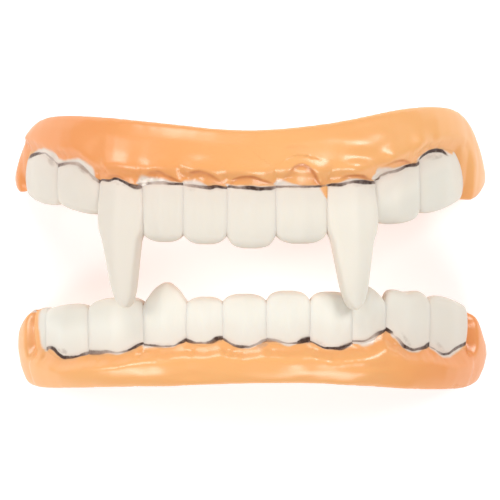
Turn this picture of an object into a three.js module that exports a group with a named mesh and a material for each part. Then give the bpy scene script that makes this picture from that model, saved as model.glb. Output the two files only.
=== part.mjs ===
// A vampire costume denture in soft vinyl: an upper plate with two long fangs and a lower plate.
// Each plate is a curved gum trough that slips over the wearer's own teeth, with the false teeth
// let into its front under a gum lip. The two plates are loose. They lie as on a table: each
// stands on the two ends of its arch with the tooth fronts facing up, and the fang tips lie just
// over the lower teeth. Millimetres, +Z up, +X to the right, +Y from the lower plate to the upper.
import * as THREE from "three";

// Thicknesses and clearances, the same on both plates
const wallThickness = 1.6; // backing wall, bite floor and tongue-side wall of the trough
const channelWidth = 6.5; // room between the walls for the wearer's teeth
const fitGap = 0.3; // air between any two pieces
const toothDepth = 2.5; // an ordinary tooth, from the backing wall to its front
const lipThickness = 0.85; // gum lip over the tooth necks
const lipRound = 0.3; // rounding of the lip's lower edge
const socketDepth = 1.4; // how far a neck runs up behind the lip
const gumSwell = 0.35; // how far the gum swells out above its lip
const rimThickness = 1.35; // free edge of the gum
const rimSetback = 1.0; // how far the free edge lies behind the lip
const fangLength = 18.6; // visible length of a fang
const fangDepth = 3.5; // a fang, from the backing wall to its front
const fangBelly = 1.1; // how far a fang's free part rounds out behind the backing wall
const fangFlare = 0.2; // how far a fang's tip leans out to pass in front of the lower teeth
const plateSpacing = 23; // between the two plates' gum lines at the midline
const archDepth = 22.4; // depth of the lower arch behind its front teeth
const overbite = 4.1; // how much deeper the upper arch is, so that its fangs clear the lower teeth

// Heights along the arch are shares: rim, lip and neck heights of gumHeight above the gum line,
// floor and edge heights of crownHeight beyond it. "at" and "to" run from 0 at the midline to 1
// at an end of the arch, and are negative on the left.
const upperPlate = {
  name: "upper",
  gumSide: 1, // the gum lies on the +Y side of the gum line
  gumLineY: 0,
  midlineX: -2.95,
  leftSpan: 29.9,
  rightSpan: 36.7,
  archDepth: archDepth + overbite,
  gumHeight: 9,
  crownHeight: 8.5,
  tongueWallShare: 0.5,
  midPapilla: 0.03,
  rimLine: [
    { at: -1.0, rim: 0.55 },
    { at: -0.88, rim: 0.82 },
    { at: -0.8, rim: 1.08 },
    { at: -0.72, rim: 1.23 },
    { at: -0.62, rim: 1.28 },
    { at: -0.4, rim: 1.22 },
    { at: -0.2, rim: 1.1 },
    { at: 0.05, rim: 0.97 },
    { at: 0.25, rim: 1.09 },
    { at: 0.48, rim: 1.37 },
    { at: 0.62, rim: 1.44 },
    { at: 0.72, rim: 1.4 },
    { at: 0.8, rim: 1.29 },
    { at: 0.88, rim: 1.02 },
    { at: 1.0, rim: 0.62 },
  ],
  floorLine: [
    { at: -1.0, floor: -0.12 },
    { at: -0.76, floor: -0.08 },
    { at: -0.57, floor: 0.12 },
    { at: -0.4, floor: 0.3 },
    { at: -0.25, floor: 0.7 },
    { at: 0.0, floor: 0.75 },
    { at: 0.24, floor: 0.72 },
    { at: 0.38, floor: 0.48 },
    { at: 0.52, floor: 0.33 },
    { at: 0.71, floor: 0.05 },
    { at: 1.0, floor: -0.12 },
  ],
  flapLine: [
    { at: -1.0, lip: 0.1, hollow: 0.3 },
    { at: -0.91, lip: 0.0, hollow: 0.5 },
    { at: -0.86, lip: 0.0, hollow: 0.6 },
    { at: -0.82, lip: 0.25, hollow: 0.5 },
    { at: -0.78, lip: 0.62, hollow: 0.2 },
    { at: 0.68, lip: 0.66, hollow: 0.01 },
    { at: 0.71, lip: 0.47, hollow: 0.01 },
    { at: 0.74, lip: 0.05, hollow: 0.01 },
    { at: 0.755, lip: -0.13, hollow: 0.01 },
    { at: 0.79, lip: -0.14, hollow: 0.01 },
    { at: 0.84, lip: -0.09, hollow: 0.01 },
    { at: 0.92, lip: 0.03, hollow: 0.01 },
    { at: 1.0, lip: 0.09, hollow: 0.01 },
  ],
  teeth: [
    { name: "upper_left_molar", side: -1, to: 0.835, neck: 0.66, papilla: 0.66, edge: 0.29, edgeOut: 0.1 },
    { name: "upper_left_premolar", side: -1, to: 0.59, neck: 0.46, papilla: 0.44, edge: 0.46, edgeOut: 0.27 },
    { name: "upper_left_fang", side: -1, to: 0.405, neck: 0.16, papilla: 0.13, form: "fang", lean: 0.7 },
    { name: "upper_left_lateral_incisor", side: -1, to: 0.256, neck: 0.1, papilla: 0.04, edge: 0.89 },
    { name: "upper_left_central_incisor", side: -1, to: 0.13, neck: 0.03, papilla: 0.08, edge: 0.93 },
    { name: "upper_right_central_incisor", side: 1, to: 0.12, neck: 0.02, papilla: 0.05, edge: 1.0 },
    { name: "upper_right_lateral_incisor", side: 1, to: 0.25, neck: 0.04, papilla: 0.04, edge: 0.92 },
    { name: "upper_right_fang", side: 1, to: 0.388, neck: 0.12, papilla: 0.14, form: "fang", lean: 0.5 },
    { name: "upper_right_premolar", side: 1, to: 0.535, neck: 0.34, papilla: 0.5, edge: 0.6, edgeOut: 0.54 },
    { name: "upper_right_molar", side: 1, to: 0.745, neck: 0.67, papilla: 0.62, edge: 0.46, edgeOut: 0.18 },
  ],
};

const lowerPlate = {
  name: "lower",
  gumSide: -1, // the gum lies on the -Y side of the gum line
  gumLineY: -plateSpacing,
  midlineX: 2.8,
  leftSpan: 35.2,
  rightSpan: 31.15,
  archDepth,
  gumHeight: 6,
  crownHeight: 7.5,
  tongueWallShare: 0.55,
  midPapilla: -0.16,
  rimLine: [
    { at: -1.0, rim: 1.0 },
    { at: -0.91, rim: 1.1 },
    { at: -0.84, rim: 1.15 },
    { at: -0.76, rim: 1.17 },
    { at: -0.62, rim: 1.13 },
    { at: -0.3, rim: 1.02 },
    { at: 0.06, rim: 0.92 },
    { at: 0.24, rim: 0.98 },
    { at: 0.45, rim: 1.12 },
    { at: 0.69, rim: 1.18 },
    { at: 0.8, rim: 1.16 },
    { at: 0.9, rim: 1.07 },
    { at: 1.0, rim: 0.92 },
  ],
  floorLine: [
    { at: -1.0, floor: 0.28 },
    { at: -0.9, floor: 0.36 },
    { at: -0.74, floor: 0.58 },
    { at: -0.5, floor: 0.68 },
    { at: 0.0, floor: 0.76 },
    { at: 0.5, floor: 0.7 },
    { at: 0.7, floor: 0.58 },
    { at: 0.86, floor: 0.2 },
    { at: 1.0, floor: 0.06 },
  ],
  flapLine: [
    { at: -1.0, lip: -0.42, hollow: 0.01 },
    { at: -0.9, lip: -0.58, hollow: 0.01 },
    { at: -0.83, lip: -0.77, hollow: 0.01 },
    { at: -0.81, lip: -0.88, hollow: 0.01 },
    { at: -0.797, lip: -0.8, hollow: 0.01 },
    { at: -0.792, lip: 0.08, hollow: 0.01 },
    { at: 0.757, lip: 0.02, hollow: 0.01 },
    { at: 0.762, lip: -0.8, hollow: 0.01 },
    { at: 0.775, lip: -0.82, hollow: 0.01 },
    { at: 0.83, lip: -0.58, hollow: 0.01 },
    { at: 0.9, lip: -0.2, hollow: 0.01 },
    { at: 1.0, lip: -0.08, hollow: 0.01 },
  ],
  teeth: [
    { name: "lower_left_back_molar", side: -1, to: 0.79, neck: 0.12, papilla: 0.09, edge: 0.72, edgeOut: 0.7 },
    { name: "lower_left_molar", side: -1, to: 0.72, neck: 0.35, papilla: 0.12, edge: 0.84, edgeOut: 0.74 },
    { name: "lower_left_premolar", side: -1, to: 0.515, neck: 0.2, papilla: 0.2, edge: 0.97, edgeOut: 0.91 },
    { name: "lower_left_canine", side: -1, to: 0.33, neck: 0.0, papilla: -0.04, edge: 1.24, form: "point" },
    { name: "lower_left_lateral_incisor", side: -1, to: 0.209, neck: -0.05, papilla: -0.15, edge: 0.96 },
    { name: "lower_left_central_incisor", side: -1, to: 0.113, neck: 0.0, papilla: -0.2, edge: 1.02 },
    { name: "lower_right_central_incisor", side: 1, to: 0.127, neck: -0.07, papilla: -0.18, edge: 1.08 },
    { name: "lower_right_lateral_incisor", side: 1, to: 0.255, neck: 0.05, papilla: -0.1, edge: 1.06 },
    { name: "lower_right_canine", side: 1, to: 0.362, neck: -0.16, papilla: -0.41, edge: 1.16, form: "point" },
    { name: "lower_right_premolar", side: 1, to: 0.537, neck: 0.1, papilla: 0.02, edge: 1.14, edgeOut: 1.08, cleft: 0.09 },
    { name: "lower_right_molar", side: 1, to: 0.755, neck: 0.24, papilla: 0.02, edge: 1.04, edgeOut: 0.8 },
  ],
};

// Outlines of the three tooth forms from root to tip: the share of the tooth's height, and the
// shares of its full width, depth and free belly there
const toothForms = {
  square: [
    { down: 0.0, width: 0.97, depth: 0.74, belly: 0 },
    { down: 0.16, width: 0.98, depth: 0.8, belly: 0 },
    { down: 0.35, width: 1.0, depth: 0.95, belly: 0 },
    { down: 0.62, width: 1.0, depth: 1.0, belly: 0 },
    { down: 0.85, width: 0.99, depth: 0.93, belly: 0 },
    { down: 0.93, width: 0.88, depth: 0.8, belly: 0 },
    { down: 0.98, width: 0.66, depth: 0.62, belly: 0 },
    { down: 1.0, width: 0.3, depth: 0.42, belly: 0 },
  ],
  point: [
    { down: 0.0, width: 0.95, depth: 0.74, belly: 0 },
    { down: 0.16, width: 0.98, depth: 0.84, belly: 0 },
    { down: 0.4, width: 1.0, depth: 1.0, belly: 0 },
    { down: 0.66, width: 0.99, depth: 1.05, belly: 0 },
    { down: 0.79, width: 0.86, depth: 0.98, belly: 0 },
    { down: 0.89, width: 0.63, depth: 0.84, belly: 0 },
    { down: 0.96, width: 0.36, depth: 0.66, belly: 0 },
    { down: 1.0, width: 0.12, depth: 0.48, belly: 0 },
  ],
  fang: [
    { down: 0.0, width: 0.88, depth: 0.58, belly: 0 },
    { down: 0.07, width: 0.9, depth: 0.62, belly: 0 },
    { down: 0.22, width: 0.97, depth: 0.86, belly: 0 },
    { down: 0.38, width: 0.94, depth: 0.98, belly: 0 },
    { down: 0.48, width: 0.86, depth: 1.0, belly: 0.7 },
    { down: 0.6, width: 0.74, depth: 1.0, belly: 1 },
    { down: 0.75, width: 0.6, depth: 0.98, belly: 0.9 },
    { down: 0.86, width: 0.5, depth: 0.92, belly: 0.45 },
    { down: 0.94, width: 0.36, depth: 0.84, belly: -0.1 },
    { down: 0.98, width: 0.22, depth: 0.74, belly: -0.6 },
    { down: 1.0, width: 0.08, depth: 0.64, belly: -1.1 },
  ],
};
// Across a tooth, from its left side (-1) to its right side (1), and how much of its depth the
// sides keep
const frontColumns = [-1, -0.88, -0.5, 0, 0.5, 0.88, 1];
const backColumns = [1, 0.55, -0.55, -1];
const sideDepth = 0.66;
const cleftPlace = 0.5; // where the cleft between two cusps lies across a tooth
const cleftWidth = 0.25; // how far it reaches to each side, as a share of the tooth
const crossRound = 2.4; // roundness of the section: 2 is an ellipse, higher is squarer
// Front of the gum from its lip to its rim: the share of that height, and how far it has gone
// there from the lip, which follows each tooth, to the smooth body of the gum, and how much of
// the swell and of the rim's setback it has
const gumFront = [
  { up: 0.16, body: 0.35, swell: 0.7, setback: 0.0 },
  { up: 0.42, body: 0.85, swell: 1.0, setback: 0.15 },
  { up: 0.72, body: 1.0, swell: 0.6, setback: 0.5 },
  { up: 0.94, body: 1.0, swell: 0.1, setback: 1.05 },
];
// Inner face of the gum from its rim to the bite floor: the share of that height, and how far it
// has gone from the rim's inner edge to the backing wall's rear face
const gumBack = [
  { up: 0.95, inward: 0.0 },
  { up: 0.72, inward: 0.2 },
  { up: 0.4, inward: 1.0 },
  { up: 0.0, inward: 1.0 },
];
const socketEnd = 0.004; // share of the arch past the last tooth where the socket closes
const longestStation = 0.07; // longest share of the arch between two sections of the gum

const vinylGum = new THREE.MeshStandardMaterial({ color: 0xf8b072, roughness: 0.22, metalness: 0 });
const vinylTooth = new THREE.MeshStandardMaterial({ color: 0xefebdf, roughness: 0.48, metalness: 0 });

// Smooth curve through a table's rows that never overshoots them
function curveValue(rows, key, column, where) {
  const last = rows.length - 1;
  if (where <= rows[0][key]) return rows[0][column];
  if (where >= rows[last][key]) return rows[last][column];
  const slope = (i) => (rows[i + 1][column] - rows[i][column]) / (rows[i + 1][key] - rows[i][key]);
  const tangent = (i) => {
    if (i === 0 || i === last) return 0;
    const [before, after] = [slope(i - 1), slope(i)];
    return before * after <= 0 ? 0 : (2 * before * after) / (before + after);
  };
  const i = rows.findIndex((row, n) => n < last && where < rows[n + 1][key]);
  const run = rows[i + 1][key] - rows[i][key];
  const s = (where - rows[i][key]) / run;
  return (
    rows[i][column] * (1 + 2 * s) * (1 - s) ** 2 +
    rows[i + 1][column] * s * s * (3 - 2 * s) +
    run * (tangent(i) * s * (1 - s) ** 2 - tangent(i + 1) * s * s * (1 - s))
  );
}

// A point of the plate: at along the arch, height above the gum line, out from the backing wall
function platePoint(plate, at, height, out) {
  const angle = (at * Math.PI) / 2;
  const span = at < 0 ? plate.leftSpan : plate.rightSpan;
  const normal = new THREE.Vector2(Math.sin(angle) / span, Math.cos(angle) / plate.archDepth).normalize();
  return new THREE.Vector3(
    plate.midlineX + span * Math.sin(angle) + out * normal.x,
    plate.gumLineY + plate.gumSide * height,
    plate.archDepth * Math.cos(angle) + out * normal.y,
  );
}

// Length in mm of one unit of "at" at a place on the arch
function archRate(plate, at) {
  const angle = (at * Math.PI) / 2;
  const span = at < 0 ? plate.leftSpan : plate.rightSpan;
  return (Math.PI / 2) * Math.hypot(span * Math.cos(angle), plate.archDepth * Math.sin(angle));
}

// The two sides of each tooth along the arch, and what the table leaves out
function laidOutTeeth(plate) {
  return plate.teeth.map((tooth) => {
    const between = plate.teeth.filter((t) => t.side === tooth.side && t.to < tooth.to);
    const inner = Math.max(0, ...between.map((t) => t.to));
    const [left, right] = tooth.side < 0 ? [-tooth.to, -inner] : [inner, tooth.to];
    const defaults = { form: "square", edgeOut: tooth.edge, lean: 0, cleft: 0 };
    return { ...defaults, ...tooth, left, right, middle: (left + right) / 2 };
  });
}

// Height of the gum lip over the teeth: highest or lowest at each neck, with a papilla between
function lipRows(plate, teeth) {
  const rows = [{ at: 0, lip: plate.midPapilla }];
  for (const tooth of teeth) {
    rows.push({ at: tooth.middle, lip: tooth.neck });
    rows.push({ at: tooth.side < 0 ? tooth.left : tooth.right, lip: tooth.papilla });
  }
  return rows.sort((a, b) => a.at - b.at);
}

function buildPlate(plate) {
  const teeth = laidOutTeeth(plate);
  const lipOverTeeth = lipRows(plate, teeth);
  const firstTooth = teeth[0].left;
  const lastTooth = teeth[teeth.length - 1].right;
  const neckLine = (at) => plate.gumHeight * curveValue(lipOverTeeth, "at", "lip", at);
  const rootLine = (at) => neckLine(at) + socketDepth;
  const leftFlap = plate.flapLine.filter((row) => row.at < 0);
  const rightFlap = plate.flapLine.filter((row) => row.at > 0);
  const flapLip = (at) => {
    if (at >= leftFlap[leftFlap.length - 1].at && at <= rightFlap[0].at) return Infinity;
    return plate.gumHeight * curveValue(at < 0 ? leftFlap : rightFlap, "at", "lip", at);
  };
  const flapHollow = (at) =>
    plate.gumHeight * curveValue(at < 0 ? leftFlap : rightFlap, "at", "hollow", at);
  const rimHeight = (at) => plate.gumHeight * curveValue(plate.rimLine, "at", "rim", at);
  const floorFace = (at) => -plate.crownHeight * curveValue(plate.floorLine, "at", "floor", at);

  // Tip height of a tooth at a place across it
  function edgeHeight(tooth, at) {
    if (tooth.form === "fang") return neckLine(tooth.middle) - fangLength;
    const innerSide = tooth.side < 0 ? tooth.right : tooth.left;
    const outward = Math.abs(at - innerSide) / (tooth.right - tooth.left);
    const cleft = tooth.cleft * Math.max(0, 1 - Math.abs(outward - cleftPlace) / cleftWidth);
    return -plate.crownHeight * (tooth.edge + (tooth.edgeOut - tooth.edge) * outward - cleft);
  }

  // Depth of a tooth's front at a share of its half width (-1 to 1) and of its height
  function frontOf(tooth, across, down) {
    const full = (tooth.form === "fang" ? fangDepth : toothDepth) - fitGap;
    const crown = (1 - Math.abs(across) ** crossRound) ** (1 / 2);
    const depth = full * curveValue(toothForms[tooth.form], "down", "depth", down);
    return fitGap + depth * (sideDepth + (1 - sideDepth) * crown);
  }

  function toothRing(tooth, row) {
    const gapShare = fitGap / 2 / archRate(plate, tooth.middle);
    const halfWidth = ((tooth.right - tooth.left) / 2 - gapShare) * row.width;
    const leanShare = (tooth.lean * row.down * row.down) / archRate(plate, tooth.middle);
    const belly = -fangBelly * row.belly;
    const flare = tooth.form === "fang" ? fangFlare * row.down * row.down : 0;
    const corner = (across, out) => {
      const at = tooth.middle + halfWidth * across;
      const root = rootLine(at) - fitGap;
      const height = root + (edgeHeight(tooth, at) - root) * row.down;
      return platePoint(plate, at + leanShare, height, out + flare);
    };
    return [
      ...frontColumns.map((across) => corner(across, frontOf(tooth, across, row.down))),
      ...backColumns.map((across) => corner(across, fitGap + belly * Math.sqrt(1 - across * across))),
    ];
  }

  // Depth that the gum lip has to clear at a place along the arch
  function toothFrontUnderLip(at, lip) {
    const endTooth = at < 0 ? teeth[0] : teeth[teeth.length - 1];
    const tooth = teeth.find((t) => at >= t.left && at <= t.right) ?? endTooth;
    const width = tooth.right - tooth.left;
    const across = THREE.MathUtils.clamp((2 * (at - tooth.middle)) / width, -1, 1);
    const root = rootLine(at) - fitGap;
    const lowest = THREE.MathUtils.clamp((root - lip) / (root - edgeHeight(tooth, at)), 0, 1);
    return Math.max(...[0, 0.5, 1].map((share) => frontOf(tooth, across, lowest * share)));
  }

  // Depth of the gum's smooth body, which runs over the crests of the roots and not between them
  const lipHeight = (at) => Math.min(neckLine(at), flapLip(at));
  const lipFront = (at) => toothFrontUnderLip(at, lipHeight(at)) + fitGap + lipThickness;
  const bodyRows = teeth.map((tooth) => ({ at: tooth.middle, out: lipFront(tooth.middle) }));

  function gumRing(at) {
    const lip = lipHeight(at);
    const rim = rimHeight(at);
    const floor = floorFace(at);
    const floorTop = floor + wallThickness;
    const inSocket = at > firstTooth - socketEnd && at < lastTooth + socketEnd;
    const socketTop = inSocket ? rootLine(at) : lip + flapHollow(at);
    const lipInner = toothFrontUnderLip(at, lip) + fitGap;
    const lipOuter = lipInner + lipThickness;
    const bodyOuter = curveValue(bodyRows, "at", "out", at);
    const rimOuter = bodyOuter - rimSetback;
    const rimInner = rimOuter - rimThickness;
    const tongueFront = -wallThickness - channelWidth;
    const tongueBack = tongueFront - wallThickness;
    const tongueTop = floorTop + (rim - floorTop) * plate.tongueWallShare;
    const flat = [
      [lipInner, lip],
      [lipOuter - lipRound, lip],
      [lipOuter, lip + lipRound],
      ...gumFront.map((row) => [
        lipOuter + (bodyOuter - lipOuter) * row.body + gumSwell * row.swell - rimSetback * row.setback,
        lip + (rim - lip) * row.up,
      ]),
      [(rimOuter + rimInner) / 2, rim],
      ...gumBack.map((row) => [
        rimInner + (-wallThickness - rimInner) * row.inward,
        floorTop + (rim - floorTop) * row.up,
      ]),
      [tongueFront, floorTop],
      [tongueFront, tongueTop - lipRound],
      [tongueFront - lipRound, tongueTop],
      [tongueBack + lipRound, tongueTop],
      [tongueBack, tongueTop - lipRound],
      [tongueBack, floor],
      [0, floor],
      [0, socketTop],
      [lipInner, socketTop],
    ];
    return { flat, points: flat.map(([out, height]) => platePoint(plate, at, height, out)) };
  }

  // Places along the arch where the gum is given a section
  function stations() {
    const places = [-1, 1, ...plate.flapLine.map((row) => row.at)];
    places.push(firstTooth - socketEnd * 0.99, firstTooth - socketEnd * 1.01);
    places.push(lastTooth + socketEnd * 0.99, lastTooth + socketEnd * 1.01);
    for (const tooth of teeth) {
      const width = tooth.right - tooth.left;
      places.push(tooth.left, tooth.left + width * 0.25, tooth.middle);
      places.push(tooth.left + width * 0.75, tooth.right);
    }
    const sorted = [...new Set(places.map((at) => Number(at.toFixed(5))))].sort((a, b) => a - b);
    const filled = [sorted[0]];
    for (const at of sorted.slice(1)) {
      const from = filled[filled.length - 1];
      const steps = Math.ceil((at - from) / longestStation);
      for (let n = 1; n <= steps; n += 1) filled.push(from + ((at - from) * n) / steps);
    }
    return filled;
  }

  const meshes = [];
  const rings = stations().map(gumRing);
  const gumPoints = rings.map((ring) => ring.points);
  const gum = loft(gumPoints, rings[0].flat, rings[rings.length - 1].flat);
  meshes.push(namedMesh(`${plate.name}_gum`, gum, vinylGum));
  for (const tooth of teeth) {
    const sections = toothForms[tooth.form].map((row) => toothRing(tooth, row));
    const outline = [
      ...frontColumns.map((across) => [across, 1]),
      ...backColumns.map((across) => [across, -1]),
    ];
    const capOutline = outline.map(([across, face]) => [across, face > 0 ? 1 - across * across / 2 : -1]);
    meshes.push(namedMesh(tooth.name, loft(sections, capOutline, capOutline), vinylTooth));
  }
  return meshes;
}

// Closed solid through rings of points, with flat end caps cut into triangles by their outlines
function loft(rings, firstOutline, lastOutline) {
  const count = rings[0].length;
  const triangles = [];
  for (let r = 0; r < rings.length - 1; r += 1) {
    for (let p = 0; p < count; p += 1) {
      const q = (p + 1) % count;
      const [a, b, c, d] = [r * count + p, r * count + q, (r + 1) * count + q, (r + 1) * count + p];
      triangles.push([a, b, c], [a, c, d]);
    }
  }
  const flatPoints = (outline) => outline.map(([x, y]) => new THREE.Vector2(x, y));
  const cap = (outline) => THREE.ShapeUtils.triangulateShape(flatPoints(outline), []);
  // The cap must run against the first ring's walls and with the last ring's
  const alongOutline = (outline) => (THREE.ShapeUtils.area(flatPoints(outline)) > 0 ? 1 : -1);
  const wound = (triangle, outline) => {
    const [i, j, k] = triangle.map((n) => outline[n]);
    const turn = (j[0] - i[0]) * (k[1] - i[1]) - (j[1] - i[1]) * (k[0] - i[0]);
    return Math.sign(turn) === alongOutline(outline);
  };
  for (const triangle of cap(firstOutline)) {
    const [i, j, k] = wound(triangle, firstOutline) ? triangle : [...triangle].reverse();
    triangles.push([k, j, i]);
  }
  const base = (rings.length - 1) * count;
  for (const triangle of cap(lastOutline)) {
    const [i, j, k] = wound(triangle, lastOutline) ? triangle : [...triangle].reverse();
    triangles.push([base + i, base + j, base + k]);
  }
  const points = rings.flat();
  const cone = ([i, j, k]) => points[i].dot(points[j].clone().cross(points[k]));
  const volume = triangles.reduce((sum, triangle) => sum + cone(triangle), 0);
  const outward = volume > 0 ? triangles : triangles.map(([i, j, k]) => [i, k, j]);
  const geometry = new THREE.BufferGeometry().setFromPoints(points);
  geometry.setIndex(outward.flat());
  return geometry;
}

function namedMesh(name, geometry, material) {
  const mesh = new THREE.Mesh(geometry, material);
  mesh.name = name;
  return mesh;
}

const denture = new THREE.Group();
for (const plate of [upperPlate, lowerPlate]) {
  const group = new THREE.Group();
  group.add(...buildPlate(plate));
  denture.add(group);
}
// The origin is on the table under the middle of the whole denture
const box = new THREE.Box3().setFromObject(denture, true);
const middle = box.getCenter(new THREE.Vector3());
denture.position.set(-middle.x, -middle.y, -box.min.z);

export default denture;
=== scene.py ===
"""Looks of a vampire costume denture: two glossy gum troughs and their satin teeth, lying on a table.

Lengths in the tables are millimetres in the denture's own frame, with +X to the right, +Y from
the lower plate to the upper and +Z up, and the tooth fronts face up.
"""

import math

import bpy
import numpy as np
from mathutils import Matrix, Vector
from mathutils.bvhtree import BVHTree
from mathutils.kdtree import KDTree


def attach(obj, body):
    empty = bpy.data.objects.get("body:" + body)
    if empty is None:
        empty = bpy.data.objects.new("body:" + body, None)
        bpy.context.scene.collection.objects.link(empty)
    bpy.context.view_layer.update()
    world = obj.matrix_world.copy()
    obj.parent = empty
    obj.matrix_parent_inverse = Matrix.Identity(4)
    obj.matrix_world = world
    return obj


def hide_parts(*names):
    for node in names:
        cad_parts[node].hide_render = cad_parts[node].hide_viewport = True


bl_info = {
    "name": "Vampire Denture",
    "version": (1, 0, 0),
    "blender": (4, 5, 0),
    "location": "View3D > Sidebar > Denture",
    "description": "Builds the finished gums and teeth of a vampire costume denture on its solid model",
    "category": "Object",
}

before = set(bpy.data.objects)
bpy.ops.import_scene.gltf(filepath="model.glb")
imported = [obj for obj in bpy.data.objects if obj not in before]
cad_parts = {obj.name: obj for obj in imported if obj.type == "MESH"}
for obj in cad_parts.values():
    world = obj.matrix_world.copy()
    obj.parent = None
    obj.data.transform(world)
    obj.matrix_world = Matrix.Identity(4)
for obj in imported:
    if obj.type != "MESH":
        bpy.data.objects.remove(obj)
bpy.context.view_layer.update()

MM = 0.001

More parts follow.
